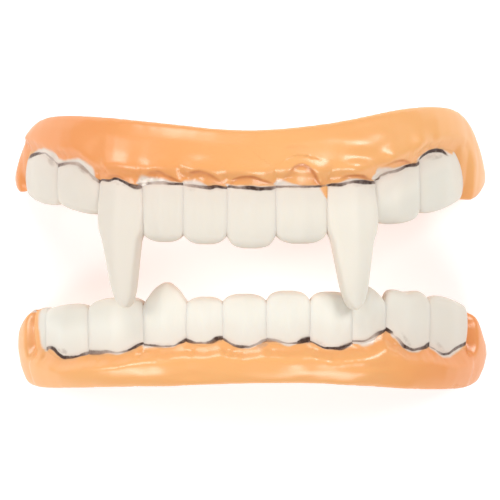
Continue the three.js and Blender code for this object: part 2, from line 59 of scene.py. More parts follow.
# The two arches. "at" runs from 0 at the midline to 1 at an end, negative on the left; heights are
# measured from the gum line towards the gum. Each tooth has its far side, the height of the gum
# edge over its neck, and the height of the papilla at its far side. The brushed line has its
# height, half width, darkness, and how far bare vinyl shows beside it on the gum. The arches are
# the creases over the tooth roots, with their darkness. Brush marks have their height, half
# length, half width, tilt in degrees and strength. The drip has its place along the arch in mm,
# its top, length and half width. The colours deepen along the arch from one place in mm to
# another, on the gum and on the teeth.
# On the teeth that deepening is painted shade, towards the end of the plate that turns away from the light.
UPPER = {
    "name": "upper",
    "side": 1,
    "gum_line": 8.569,
    "midline": -3.491,
    "left": 29.9,
    "right": 36.7,
    "depth": 26.5,
    "teeth_shade_from": 34.0,
    "deep_from": 10.0,
    "deep_to": -26.0,
    "mid_papilla": 0.27,
    "teeth": {
        "upper_left_molar": (-0.835, 5.94, 5.94),
        "upper_left_premolar": (-0.59, 4.14, 3.96),
        "upper_left_fang": (-0.405, 1.44, 1.17),
        "upper_left_lateral_incisor": (-0.256, 0.9, 0.36),
        "upper_left_central_incisor": (-0.13, 0.27, 0.72),
        "upper_right_central_incisor": (0.12, 0.18, 0.45),
        "upper_right_lateral_incisor": (0.25, 0.36, 0.36),
        "upper_right_fang": (0.388, 1.08, 1.26),
        "upper_right_premolar": (0.535, 3.06, 4.5),
        "upper_right_molar": (0.745, 6.03, 5.58),
    },
    "flaps": (
        (-1.0, 0.9), (-0.91, 0.0), (-0.86, 0.0), (-0.82, 2.25), (-0.78, 5.58),
        (0.68, 5.94), (0.71, 4.23), (0.74, 0.45), (0.755, -1.17), (0.79, -1.26),
        (0.84, -0.81), (0.92, 0.27), (1.0, 0.81),
    ),
    "brushed": (
        (-0.8, 4.9, 0.1, 0.1, 0.0), (-0.766, 5.4, 0.35, 0.9, 0.2), (-0.706, 5.7, 0.32, 0.85, 0.6),
        (-0.656, 5.8, 0.15, 0.5, 0.6), (-0.62, 5.0, 0.3, 0.45, 1.3), (-0.6, 3.95, 0.3, 0.4, 1.7),
        (-0.585, 3.75, 0.4, 0.8, 1.2), (-0.555, 3.9, 0.3, 0.75, 0.7), (-0.522, 4.05, 0.2, 0.5, 0.6),
        (-0.49, 3.9, 0.3, 0.4, 0.8), (-0.469, 3.4, 0.4, 0.4, 1.2), (-0.445, 2.5, 0.35, 0.4, 1.3),
        (-0.425, 1.5, 0.25, 0.4, 0.4), (-0.412, 1.25, 0.45, 0.95, 0.1), (-0.398, 1.2, 0.4, 0.9, 0.1),
        (-0.385, 1.45, 0.22, 0.8, 0.1), (-0.363, 1.35, 0.25, 0.8, 0.1), (-0.34, 1.65, 0.32, 0.95, 0.1),
        (-0.315, 1.2, 0.3, 0.95, 0.2), (-0.298, 0.72, 0.25, 0.9, 0.2), (-0.278, 0.35, 0.45, 0.8, 0.2),
        (-0.263, 0.75, 0.3, 0.6, 0.6), (-0.25, 1.0, 0.1, 0.1, 1.1), (-0.236, 0.9, 0.3, 0.75, 1.0),
        (-0.22, 0.95, 0.3, 0.4, 0.9), (-0.19, 0.95, 0.3, 0.4, 0.7), (-0.17, 0.8, 0.25, 0.8, 0.4),
        (-0.14, 0.75, 0.28, 0.9, 0.1), (-0.126, 0.7, 0.12, 0.2, 0.6), (-0.1, 0.5, 0.28, 0.6, 0.9),
        (-0.075, 0.3, 0.32, 0.75, 0.7), (-0.05, 0.2, 0.35, 0.85, 0.2), (-0.035, 0.4, 0.25, 0.9, 0.1),
        (-0.012, 0.2, 0.25, 0.85, 0.1), (0.0, 0.3, 0.08, 0.1, 0.5), (0.012, 0.35, 0.25, 0.85, 0.2),
        (0.03, 0.2, 0.25, 0.7, 0.3), (0.056, 0.2, 0.4, 0.95, 0.35), (0.08, 0.05, 0.4, 0.95, 0.3),
        (0.1, 0.15, 0.35, 0.8, 0.3), (0.113, 0.35, 0.2, 0.6, 0.3), (0.12, 0.4, 0.06, 0.1, 1.0),
        (0.13, 0.35, 0.22, 0.75, 1.1), (0.15, 0.38, 0.2, 0.65, 0.6), (0.176, 0.38, 0.2, 0.65, 0.2),
        (0.212, 0.4, 0.22, 0.85, 0.1), (0.225, 0.45, 0.25, 0.95, 0.0), (0.24, 0.55, 0.06, 0.1, 0.0),
        (0.253, 0.7, 0.2, 0.85, 0.1), (0.28, 0.65, 0.33, 0.9, 0.2), (0.305, 1.0, 0.25, 0.65, 0.5),
        (0.324, 1.15, 0.35, 0.85, 0.5), (0.345, 1.1, 0.48, 0.95, 0.4), (0.36, 1.05, 0.4, 0.95, 0.2),
        (0.373, 1.1, 0.3, 0.7, 0.2), (0.382, 1.55, 0.12, 0.2, 0.8), (0.389, 1.5, 0.3, 0.9, 1.0),
        (0.4, 2.1, 0.2, 0.55, 1.2), (0.425, 2.6, 0.25, 0.5, 0.8), (0.442, 2.75, 0.35, 0.6, 0.5),
        (0.463, 3.1, 0.3, 0.7, 0.4), (0.481, 3.55, 0.25, 0.9, 0.2), (0.495, 3.7, 0.35, 0.95, 0.1),
        (0.514, 3.85, 0.3, 0.85, 0.2), (0.531, 4.5, 0.2, 0.8, 0.3), (0.549, 5.3, 0.3, 0.95, 0.2),
        (0.574, 5.85, 0.42, 1.0, 0.2), (0.601, 6.05, 0.42, 1.0, 0.2), (0.622, 6.0, 0.35, 0.95, 0.3),
        (0.64, 5.6, 0.25, 0.85, 0.5), (0.655, 5.3, 0.1, 0.1, 0.5), (0.68, 5.3, 0.05, 0.0, 0.1),
    ),
    "arches": (
        ((-0.375, 1.9, 0.0), (-0.35, 2.15, 0.5), (-0.325, 2.0, 0.5), (-0.305, 1.4, 0.0)),
        ((-0.245, 1.9, 0.0), (-0.221, 2.6, 0.75), (-0.2, 2.68, 0.8), (-0.174, 2.08, 0.75),
         (-0.155, 1.55, 0.75), (-0.135, 1.05, 0.3)),
        ((-0.115, 2.0, 0.0), (-0.101, 2.5, 0.8), (-0.08, 2.64, 0.95), (-0.063, 2.45, 0.9),
         (-0.045, 2.06, 0.7), (-0.03, 1.53, 0.55), (-0.012, 1.0, 0.2)),
        ((0.006, 0.8, 0.2), (0.022, 1.65, 0.7), (0.044, 1.91, 0.95), (0.061, 1.87, 0.95),
         (0.08, 1.47, 0.85), (0.097, 1.11, 0.7), (0.112, 0.8, 0.3)),
        ((0.128, 1.1, 0.1), (0.146, 2.15, 0.4), (0.161, 3.2, 0.7), (0.179, 3.57, 0.9),
         (0.197, 3.12, 0.85), (0.212, 2.32, 0.95), (0.225, 1.14, 0.95), (0.233, 0.7, 0.6)),
        ((0.28, 1.6, 0.1), (0.3, 2.05, 0.6), (0.32, 2.2, 0.85), (0.34, 2.1, 0.95), (0.365, 1.55, 0.6)),
        ((0.41, 3.7, 0.1), (0.43, 4.32, 0.6), (0.46, 4.47, 0.75), (0.487, 4.26, 0.75), (0.505, 3.9, 0.4)),
        ((0.125, 5.7, 0.0), (0.15, 6.2, 0.12), (0.18, 6.3, 0.15), (0.21, 6.05, 0.0)),
    ),
    "marks": (
        (-0.465, 3.05, 1.3, 0.45, -30, 0.5), (-0.632, 4.7, 1.1, 0.5, -60, 0.45),
        (0.593, 5.05, 1.5, 0.4, 8, 0.5), (-0.322, 0.8, 1.3, 0.2, -20, 0.35),
        (-0.09, -0.05, 1.0, 0.25, 0, 0.25), (0.335, 0.75, 1.3, 0.25, 0, 0.3),
    ),
    "drip": (13.7, 0.5, 1.9, 0.95),
}
LOWER = {
    "name": "lower",
    "side": -1,
    "gum_line": -14.431,
    "midline": 2.259,
    "left": 35.2,
    "right": 31.15,
    "depth": 22.4,
    "teeth_shade_from": 6.0,
    "deep_from": 6.0,
    "deep_to": 34.0,
    "mid_papilla": -0.96,
    "teeth": {
        "lower_left_back_molar": (-0.79, 0.72, 0.54),
        "lower_left_molar": (-0.72, 2.1, 0.72),
        "lower_left_premolar": (-0.515, 1.2, 1.2),
        "lower_left_canine": (-0.33, 0.0, -0.24),
        "lower_left_lateral_incisor": (-0.209, -0.3, -0.9),
        "lower_left_central_incisor": (-0.113, 0.0, -1.2),
        "lower_right_central_incisor": (0.127, -0.42, -1.08),
        "lower_right_lateral_incisor": (0.255, 0.3, -0.6),
        "lower_right_canine": (0.362, -0.96, -2.46),
        "lower_right_premolar": (0.537, 0.6, 0.12),
        "lower_right_molar": (0.755, 1.44, 0.12),
    },
    "flaps": (
        (-1.0, -2.52), (-0.9, -3.48), (-0.83, -4.62), (-0.81, -5.28), (-0.797, -4.8), (-0.792, 0.48),
        (0.757, 0.12), (0.762, -4.8), (0.775, -4.92), (0.83, -3.48), (0.9, -1.2), (1.0, -0.48),
    ),
    "brushed": (
        (-1.0, -2.5, 0.05, 0.0, 0.1), (-0.83, -4.6, 0.05, 0.0, 0.1), (-0.738, -6.0, 0.05, 0.0, 0.9),
        (-0.731, -5.0, 0.05, 0.0, 0.9), (-0.7235, 0.5, 0.05, 0.0, 0.6),
        (-0.722, 0.9, 0.1, 0.2, 0.3), (-0.708, 0.9, 0.3, 0.75, 0.3),
        (-0.682, 0.55, 0.25, 0.65, 0.3), (-0.666, 0.65, 0.35, 0.95, 0.2), (-0.64, 1.45, 0.35, 1.0, 0.2),
        (-0.612, 1.95, 0.35, 1.0, 0.1), (-0.581, 1.9, 0.25, 0.9, 0.1), (-0.557, 1.75, 0.25, 0.8, 0.1),
        (-0.534, 1.3, 0.35, 0.75, 0.2), (-0.507, 1.1, 0.48, 0.75, 0.2), (-0.474, 1.1, 0.4, 0.7, 0.2),
        (-0.442, 0.9, 0.25, 0.6, 0.3), (-0.415, 1.05, 0.15, 0.4, 0.3), (-0.389, 0.85, 0.2, 0.65, 0.2),
        (-0.371, 0.55, 0.25, 0.9, 0.1), (-0.353, -0.15, 0.25, 0.9, 0.1), (-0.336, -0.5, 0.2, 0.9, 0.6),
        (-0.319, -0.25, 0.2, 0.8, 0.5), (-0.295, -0.1, 0.2, 0.75, 0.2), (-0.272, 0.0, 0.15, 0.6, 0.2),
        (-0.246, -0.05, 0.15, 0.65, 0.2), (-0.227, -0.6, 0.3, 0.85, 0.0), (-0.211, -1.1, 0.35, 0.95, 0.0),
        (-0.195, -0.8, 0.3, 0.85, 0.0), (-0.179, -0.55, 0.2, 0.7, 0.0), (-0.159, -0.55, 0.2, 0.6, 0.1),
        (-0.143, -0.7, 0.35, 0.8, 0.0), (-0.127, -1.3, 0.42, 0.95, 0.0), (-0.108, -1.3, 0.25, 0.75, 0.0),
        (-0.093, -0.6, 0.25, 0.7, 0.0), (-0.08, -0.15, 0.3, 0.75, 0.0), (-0.064, 0.0, 0.3, 0.9, 0.2),
        (-0.048, 0.0, 0.2, 0.7, 0.3), (-0.03, -0.3, 0.25, 0.5, 0.2), (-0.014, -0.85, 0.4, 0.6, 0.0),
        (0.01, -1.0, 0.4, 0.65, 0.0), (0.03, -0.9, 0.3, 0.5, 0.1), (0.047, -0.65, 0.14, 0.5, 0.3),
        (0.064, -0.5, 0.14, 0.55, 0.4), (0.085, -0.55, 0.2, 0.75, 0.1), (0.099, -0.8, 0.48, 1.0, 0.0),
        (0.111, -1.0, 0.55, 1.0, 0.0), (0.122, -0.95, 0.5, 0.9, 0.0), (0.134, -0.75, 0.25, 0.9, 0.0),
        (0.156, -0.1, 0.25, 0.85, 0.1), (0.17, 0.2, 0.25, 0.95, 0.1), (0.192, 0.25, 0.25, 0.9, 0.1),
        (0.214, 0.3, 0.4, 0.9, 0.0), (0.236, -0.1, 0.48, 0.85, 0.0), (0.251, -0.5, 0.42, 0.8, 0.0),
        (0.267, -0.8, 0.16, 0.75, 0.4), (0.285, -0.75, 0.14, 0.7, 0.8), (0.306, -1.1, 0.16, 0.5, 0.9),
        (0.322, -1.55, 0.33, 0.5, 0.4), (0.346, -2.15, 0.35, 0.95, 0.0), (0.363, -2.45, 0.38, 1.0, 0.0),
        (0.374, -2.5, 0.4, 1.0, 0.0), (0.388, -2.05, 0.32, 0.95, 0.0), (0.396, -1.6, 0.06, 0.1, 0.3),
        (0.406, -1.15, 0.2, 0.4, 0.2), (0.418, -0.5, 0.25, 0.6, 0.2), (0.43, 0.1, 0.3, 0.9, 0.3),
        (0.448, 0.45, 0.25, 0.85, 0.5), (0.464, 0.65, 0.25, 0.8, 0.5), (0.483, 0.55, 0.3, 0.75, 0.5),
        (0.506, 0.4, 0.4, 0.85, 0.1), (0.524, -0.05, 0.5, 1.0, 0.0), (0.535, 0.0, 0.4, 0.9, 0.0),
        (0.545, 0.25, 0.12, 0.3, 0.3), (0.556, 0.4, 0.16, 0.45, 0.4), (0.58, 1.2, 0.25, 0.6, 0.4),
        (0.6, 1.5, 0.25, 0.9, 0.5), (0.625, 1.4, 0.25, 0.8, 0.6), (0.648, 0.95, 0.3, 0.75, 0.6),
        (0.688, 0.4, 0.35, 0.8, 0.5), (0.73, 0.0, 0.35, 0.95, 0.1), (0.745, -0.3, 0.1, 0.2, 0.3),
        (0.752, -0.2, 0.05, 0.0, 0.1),
    ),
    "arches": (),
    "marks": (
        (-0.62, 1.0, 1.2, 0.45, 23, 0.5), (0.012, -0.95, 1.5, 0.35, 0, 0.45),
        (-0.012, -0.1, 1.1, 0.35, -25, 0.5), (0.152, -0.7, 1.2, 0.3, 30, 0.4),
        (0.232, -0.1, 1.2, 0.45, -20, 0.55), (0.345, -1.6, 1.1, 0.45, -35, 0.55),
        (0.435, -0.9, 1.3, 0.25, 55, 0.4), (0.59, 0.5, 1.3, 0.25, 50, 0.35),
    ),
    "drip": None,
}

# Soft lumps of the gum's surface: place along the arch, height, half width along and up, relief
UPPER_LUMPS = (
    (-0.295, 4.0, 4.2, 3.4, 0.2),
    (-0.17, 8.2, 5.0, 2.0, 0.14),
    (-0.62, 8.0, 5.0, 3.0, 0.15),
    (0.24, 7.5, 2.8, 1.6, 0.15),
    (0.33, 6.6, 3.2, 1.5, 0.35),
    (0.33, 5.0, 2.6, 1.1, -0.25),
    (0.318, 3.3, 1.7, 1.0, 0.35),
    (0.415, 5.1, 1.6, 1.1, 0.3),
    (0.4, 7.9, 2.0, 1.2, 0.2),
    (0.525, 6.8, 1.3, 1.8, 0.3),
    (0.78, 4.0, 1.3, 2.5, 0.2),
)
LOWER_LUMPS = (
    (-0.48, 3.7, 2.6, 1.4, 0.15),
    (-0.27, 4.0, 4.6, 2.4, 0.28),
    (-0.19, 4.3, 2.0, 0.7, -0.15),
    (0.08, 2.4, 2.8, 1.1, 0.25),
    (0.11, 3.9, 1.8, 0.9, 0.15),
    (0.02, 4.6, 3.5, 1.0, 0.15),
    (0.27, 2.3, 3.6, 1.1, 0.3),
    (0.3, 3.9, 3.4, 1.1, 0.3),
    (0.28, 3.0, 4.2, 0.5, -0.15),
    (0.25, 5.3, 2.8, 0.9, 0.15),
)

LINE_SHARES = (0.0, 0.33, 0.67)  # points searched on each stretch of a curve
NO_CREASE = 9.0  # mm, farther than any crease reaches
RAY_REACH = 6.0  # mm on each side of the gum's surface in which its tooth is looked for
PRESSED_GAP = 0.1  # mm that the thinned edge sinks below the tooth's surface
END_FADE = (1.5, 5.5)  # mm from the arch ends over which the thinning sets in
RIM_STEP = 0.3  # mm between the places where the gum's free edge is evened
RIM_SPREAD = 8.0  # such places in one deviation of the evening
NECK_SWELL = 0.18  # mm that a tooth swells under the gum's edge
GROOVE_DEPTH = 0.05  # mm of the faint grooves on a tooth's front
SENSOR_WIDTH = 36
LIGHTS = (
    # name, place and side in m, watts
    ("top_light", (-0.15, 0.42, 0.36), 0.22, 1.0),
    ("left_light", (-0.42, 0.12, 0.34), 0.18, 0.85),
    ("right_light", (0.34, 0.18, 0.36), 0.19, 1.25),
    ("near_left_light", (-0.36, -0.27, 0.37), 0.17, 0.85),
    ("near_right_light", (0.14, -0.38, 0.36), 0.2, 0.95),
)


# Shapes of the arches


def arch_place(plate, xz):
    """Place along the arch, depth in front of the backing wall and front normal of X, Z points."""
    right = xz[:, 0] >= plate["midline"]
    span = np.where(right, plate["right"], plate["left"])
    x = xz[:, 0] - plate["midline"]
    angle = np.arctan2(x / span, np.maximum(xz[:, 1], 0.0) / plate["depth"])
    for _ in range(12):
        normal = np.stack([np.sin(angle) / span, np.cos(angle) / plate["depth"]], 1)
        normal /= np.linalg.norm(normal, axis=1)[:, None]
        base = np.stack([span * np.sin(angle), plate["depth"] * np.cos(angle)], 1)
        out = ((np.stack([x, xz[:, 1]], 1) - base) * normal).sum(1)
        angle = np.arctan2(
            (x - out * normal[:, 0]) / span, (xz[:, 1] - out * normal[:, 1]) / plate["depth"]
        )
        angle = np.clip(angle, -math.pi / 2, math.pi / 2)
    return angle / (math.pi / 2), out, normal


def arch_length(plate, at):
    """Length along the arch in mm from the midline to each place."""
    steps = np.linspace(-1, 1, 801)
    span = np.where(steps >= 0, plate["right"], plate["left"])
    angle = steps * math.pi / 2
    rate = np.hypot(span * np.cos(angle), plate["depth"] * np.sin(angle)) * math.pi / 2
    length = np.concatenate([[0], np.cumsum((rate[1:] + rate[:-1]) / 2 * np.diff(steps))])
    return np.interp(at, steps, length - np.interp(0, steps, length))


def gum_height(plate, points):
    """Height of points from the gum line towards the gum."""
    return (points[:, 1] - plate["gum_line"]) * plate["side"]


def tooth_span(plate, name):
    """The two sides of a tooth along the arch."""
    far = plate["teeth"][name][0]
    nearer = [t[0] for t in plate["teeth"].values() if t[0] * far > 0 and abs(t[0]) < abs(far)]
    near = max(nearer, key=abs) if nearer else 0.0
    return min(near, far), max(near, far)


def smooth_curve(places, values, where):
    """Curve through the given values that never overshoots them."""
    places, values = np.asarray(places, float), np.asarray(values, float)
    slope = np.diff(values) / np.diff(places)
    tangent = np.zeros(len(places))
    same = slope[:-1] * slope[1:] > 0
    tangent[1:-1][same] = 2 * slope[:-1][same] * slope[1:][same] / (slope[:-1] + slope[1:])[same]
    i = np.clip(np.searchsorted(places, where) - 1, 0, len(places) - 2)
    run = places[i + 1] - places[i]
    s = np.clip((where - places[i]) / run, 0, 1)
    return (
        values[i] * (1 + 2 * s) * (1 - s) ** 2
        + values[i + 1] * s * s * (3 - 2 * s)
        + run * (tangent[i] * s * (1 - s) ** 2 - tangent[i + 1] * s * s * (1 - s))
    )


def gum_edge(plate, at):
    """Height of the gum's edge over the teeth and along the end flaps."""
    rows = [(0.0, plate["mid_papilla"])]
    for name, (far, neck, papilla) in plate["teeth"].items():
        low, high = tooth_span(plate, name)
        rows += [((low + high) / 2, neck), (far, papilla)]
    rows.sort()
    edge = smooth_curve([r[0] for r in rows], [r[1] for r in rows], at)
    for flap in ([r for r in plate["flaps"] if r[0] < 0], [r for r in plate["flaps"] if r[0] > 0]):
        places, heights = [r[0] for r in flap], [r[1] for r in flap]
        inside = (at >= places[0]) & (at <= places[-1])
        edge = np.where(inside, np.minimum(edge, smooth_curve(places, heights, at)), edge)
    return edge


def curve_distance(lengths, heights, along, height):
    """Distance in mm from a curve, positive above it, and the nearest point of the curve."""
    share = np.array(LINE_SHARES)
    a = (lengths[:-1, None] + np.diff(lengths)[:, None] * share).ravel()
    h = (heights[:-1, None] + np.diff(heights)[:, None] * share).ravel()
    tree = KDTree(len(a))
    for i, (x, y) in enumerate(zip(a, h)):
        tree.insert((x, y, 0.0), i)
    tree.balance()
    found = [tree.find((x, y, 0.0)) for x, y in zip(along, height)]
    far = np.array([near[2] for near in found])
    above = height > np.interp(along, lengths, heights)
    return np.where(above, far, -far), np.array([near[1] for near in found]) // len(share)


def edge_distance(plate, along, height):
    """Distance in mm from the gum's edge, positive on the gum and negative on the teeth."""
    at = np.linspace(-1, 1, 1601)
    return curve_distance(arch_length(plate, at), gum_edge(plate, at), along, height)[0]


def brushed_values(plate, along, height):
    """How the brushed line and its brush marks lie at each point."""
    rows = np.array(plate["brushed"], float)
    at = np.linspace(-1, 1, 2401)
    inside = (at >= rows[0, 0]) & (at <= rows[-1, 0])
    heights = np.where(inside, smooth_curve(rows[:, 0], rows[:, 1], at), gum_edge(plate, at))
    distance, nearest = curve_distance(arch_length(plate, at), heights, along, height)
    width, dark, bare = (np.interp(at, rows[:, 0], rows[:, i])[nearest] for i in (2, 3, 4))
    mark = np.zeros(len(along))
    for place, up, long, wide, tilt, strength in plate["marks"]:
        dx = along - arch_length(plate, np.array([place]))[0]
        dy = height - up
        turn = math.radians(tilt)
        run = (dx * math.cos(turn) + dy * math.sin(turn)) / long
        rise = (dy * math.cos(turn) - dx * math.sin(turn)) / wide
        mark = np.maximum(mark, strength * step(run**2 + rise**2, 1.6, 0.4))
    return {"paint": distance, "width": width, "dark": dark, "bare": bare, "mark": mark}


def drip_cover(plate, along, height):
    """How fully the orange drip, pointed at its lower end, covers each point."""
    if not plate["drip"]:
        return np.zeros(len(along))
    place, top, length, half = plate["drip"]
    share = np.clip((top - height) / length, -0.3, 1.2)
    wide = half * np.clip(1 - share, 0.02, 1.2) ** 0.8
    across = step(np.abs(along - place) / wide, 1.15, 0.75)
    return across * step(share, 1.05, 0.95) * step(share, -0.3, 0.0)


def arch_values(plate, along, height):
    """Distance above the nearest crease over a tooth root, and how dark the crease is there."""
    nearest_distance, shade = np.full(len(along), NO_CREASE), np.zeros(len(along))
    for crease in plate["arches"]:
        rows = np.array(crease)
        at = np.linspace(rows[0, 0], rows[-1, 0], 80)
        heights = smooth_curve(rows[:, 0], rows[:, 1], at)
        distance, nearest = curve_distance(arch_length(plate, at), heights, along, height)
        closer = np.abs(distance) < np.abs(nearest_distance)
        nearest_distance = np.where(closer, distance, nearest_distance)
        shade = np.where(closer, np.interp(at, rows[:, 0], rows[:, 2])[nearest], shade)
    return nearest_distance, shade


def step(value, low, high):
    """Smooth 0 to 1 as a value goes from low to high."""
    share = np.clip((value - low) / (high - low), 0, 1)
    return share * share * (3 - 2 * share)


# Modelling


def only_select(thing):
    bpy.ops.object.select_all(action="DESELECT")
    thing.select_set(True)
    bpy.context.view_layer.objects.active = thing


def copy_of_solid(node, name):
    """A merged copy of a solid under its own name, ready to be shaped."""
    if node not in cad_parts:
        raise RuntimeError(f"the solid {node} is missing")
    only_select(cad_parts[node])
    bpy.ops.object.duplicate()
    piece = bpy.context.view_layer.objects.active
    piece.name = piece.data.name = name
    piece.parent = None
    for key in list(piece.keys()):
        del piece[key]
    piece.data.materials.clear()
    bpy.ops.object.mode_set(mode="EDIT")
    bpy.ops.mesh.select_all(action="SELECT")
    bpy.ops.mesh.remove_doubles(threshold=0.000002)
    bpy.ops.object.mode_set(mode="OBJECT")
    return piece


def vertices_of(piece):
    points = np.zeros(len(piece.data.vertices) * 3, np.float32)
    piece.data.vertices.foreach_get("co", points)
    return points.reshape(-1, 3).astype(float) / MM


def edges_of(piece):
    ends = np.zeros(len(piece.data.edges) * 2, np.int32)
    piece.data.edges.foreach_get("vertices", ends)
    return ends.reshape(-1, 2).T


def normals_of(piece):
    normals = np.zeros(len(piece.data.vertices) * 3, np.float32)
    piece.data.vertex_normals.foreach_get("vector", normals)
    return normals.reshape(-1, 3).astype(float)


def move_vertices(piece, points):
    piece.data.vertices.foreach_set("co", (points * MM).astype(np.float32).ravel())
    piece.data.update()


def smooth_points(piece, times):
    only_select(piece)
    bpy.ops.object.mode_set(mode="EDIT")
    bpy.ops.mesh.select_all(action="SELECT")
    bpy.ops.mesh.vertices_smooth(factor=0.5, repeat=times)
    bpy.ops.object.mode_set(mode="OBJECT")


def keep_values(piece, **values):
    for name, numbers in values.items():
        layer = piece.data.attributes.new(name, "FLOAT", "POINT")
        layer.data.foreach_set("value", np.asarray(numbers, np.float32))


def finish_piece(piece, node, material):
    only_select(piece)
    bpy.ops.object.shade_smooth()
    piece.data.materials.append(material)
    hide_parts(node)
    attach(piece, "root")


def tooth_surface(plate):
    """The finished teeth of a plate as one search tree."""
    corners, faces = [], []
    for node in plate["teeth"]:
        tooth = bpy.data.objects.get(node + "_vinyl")
        if tooth is None:
            raise RuntimeError(f"the tooth {node} is not built yet")
        faces += [[i + len(corners) for i in face.vertices] for face in tooth.data.polygons]
        corners += [tuple(point) for point in vertices_of(tooth)]
    return BVHTree.FromPolygons(corners, faces)


def press_onto_teeth(piece, plate, points, taper):
    """Thins the gum's lip out onto the tooth fronts behind it."""
    at, out, normal = arch_place(plate, points[:, [0, 2]])
    along = arch_length(plate, at)
    height = gum_height(plate, points)
    edge = edge_distance(plate, along, height)
    tree = tooth_surface(plate)
    level = np.full(len(points), np.nan)
    lip = np.flatnonzero((edge < taper) & (out > 0.3))
    for i in lip:
        way = Vector((normal[i, 0], 0.0, normal[i, 1]))
        hit = tree.ray_cast(Vector(points[i]) + way * RAY_REACH, -way, 2 * RAY_REACH)
        if hit[0] is not None:
            level[i] = out[i] + RAY_REACH - hit[3]
    known = KDTree(len(points))
    for i in lip[~np.isnan(level[lip])]:
        known.insert((along[i], height[i], 0.0), i)
    known.balance()
    near = np.ones(len(points))
    for i in lip[np.isnan(level[lip])]:
        found = known.find((along[i], height[i], 0.0))
        level[i] = level[found[1]]
        near[i] = 1 - step(found[2], 0.2, 1.6)
    a, b = edges_of(piece)
    both = ~np.isnan(level[a]) & ~np.isnan(level[b])
    a, b = a[both], b[both]
    count = np.bincount(a, minlength=len(points)) + np.bincount(b, minlength=len(points)) + 1
    even = np.nan_to_num(level)
    for _ in range(12):
        beside = np.bincount(a, even[b], len(points)) + np.bincount(b, even[a], len(points))
        even = (even + beside) / count
    even = np.where(np.isnan(level), np.inf, np.minimum(even, level))
    share = np.sin(np.clip(edge / taper, 0, 1) * math.pi / 2)
    ends = arch_length(plate, np.array([-1.0, 1.0]))
    near *= step(np.minimum(along - ends[0], ends[1] - along), *END_FADE)
    proud = out > even
    tooth = np.where(proud, even, out)
    inward = np.where(proud, (tooth - out) * (1 - share) - PRESSED_GAP * (1 - share), 0.0) * near
    points[:, [0, 2]] += normal * inward[:, None]


def even_rim(plate, points):
    """Takes the small steps out of the gum's free edge."""
    along = arch_length(plate, arch_place(plate, points[:, [0, 2]])[0])
    height = gum_height(plate, points)
    places = np.arange(along.min(), along.max(), RIM_STEP)
    which = np.clip(np.round((along - places[0]) / RIM_STEP).astype(int), 0, len(places) - 1)
    rim = np.full(len(places), -np.inf)
    np.maximum.at(rim, which, height)
    found = np.isfinite(rim)
    rim = np.interp(places, places[found], rim[found])
    reach = round(3 * RIM_SPREAD)
    spread = np.exp(-0.5 * (np.arange(-reach, reach + 1) / RIM_SPREAD) ** 2)
    smooth = np.convolve(np.pad(rim, reach, "edge"), spread / spread.sum(), "valid")
    lift = np.interp(along, places, smooth - rim)
    lift *= step(height - np.interp(along, places, rim), -2.5, -0.4)
    inner = step(along, places[0] + 3, places[0] + 6) * step(-along, -places[-1] + 3, -places[-1] + 6)
    points[:, 1] += lift * inner * plate["side"]


def build_gum(plate, lumps, material, settings):
    """The gum: the solid remeshed finely, its edge thinned onto the teeth, creases and lumps raised."""
    node = plate["name"] + "_gum"
    piece = copy_of_solid(node, node + "_vinyl")
    piece.data.remesh_voxel_size = settings.mesh_size
    bpy.ops.object.voxel_remesh()
    smooth_points(piece, 8)
    points = vertices_of(piece)
    press_onto_teeth(piece, plate, points, settings.edge_taper / MM)
    even_rim(plate, points)
    move_vertices(piece, points)
    smooth_points(piece, 5)

    points = vertices_of(piece)
    at, out, normal = arch_place(plate, points[:, [0, 2]])
    along = arch_length(plate, at)
    height = gum_height(plate, points)
    edge = edge_distance(plate, along, height)
    crease, shade = arch_values(plate, along, height)
    facing = normals_of(piece)
    outward = (facing[:, [0, 2]] * normal).sum(1)
    front = step(outward, 0.05, 0.5) * step(out, 0.8, 1.6)

    relief = np.zeros(len(points))
    for place, up, wide, tall, lift in lumps:
        d = ((along - arch_length(plate, np.array([place]))[0]) / wide) ** 2
        relief += lift * np.exp(-d - ((height - up) / tall) ** 2)
    fold = step(crease, -0.2, 0.3) * (1 - step(crease, 0.5, 2.8))
    relief += shade * settings.crease_relief / MM * fold
    move_vertices(piece, points + facing * (relief * front)[:, None])
    painted = step(outward, -0.5, -0.1) * step(out, 0.3, 0.8)
    lacquer = step(normals_of(piece)[:, 2], 0.25, 0.8)
    keep_values(
        piece, edge=edge, crease=crease, shade=shade * front, along=along, lacquer=lacquer,
        painted=painted, front=step(outward, 0.15, 0.45) * step(out, 0.3, 0.8),
        **brushed_values(plate, along, height),
    )
    finish_piece(piece, node, material)


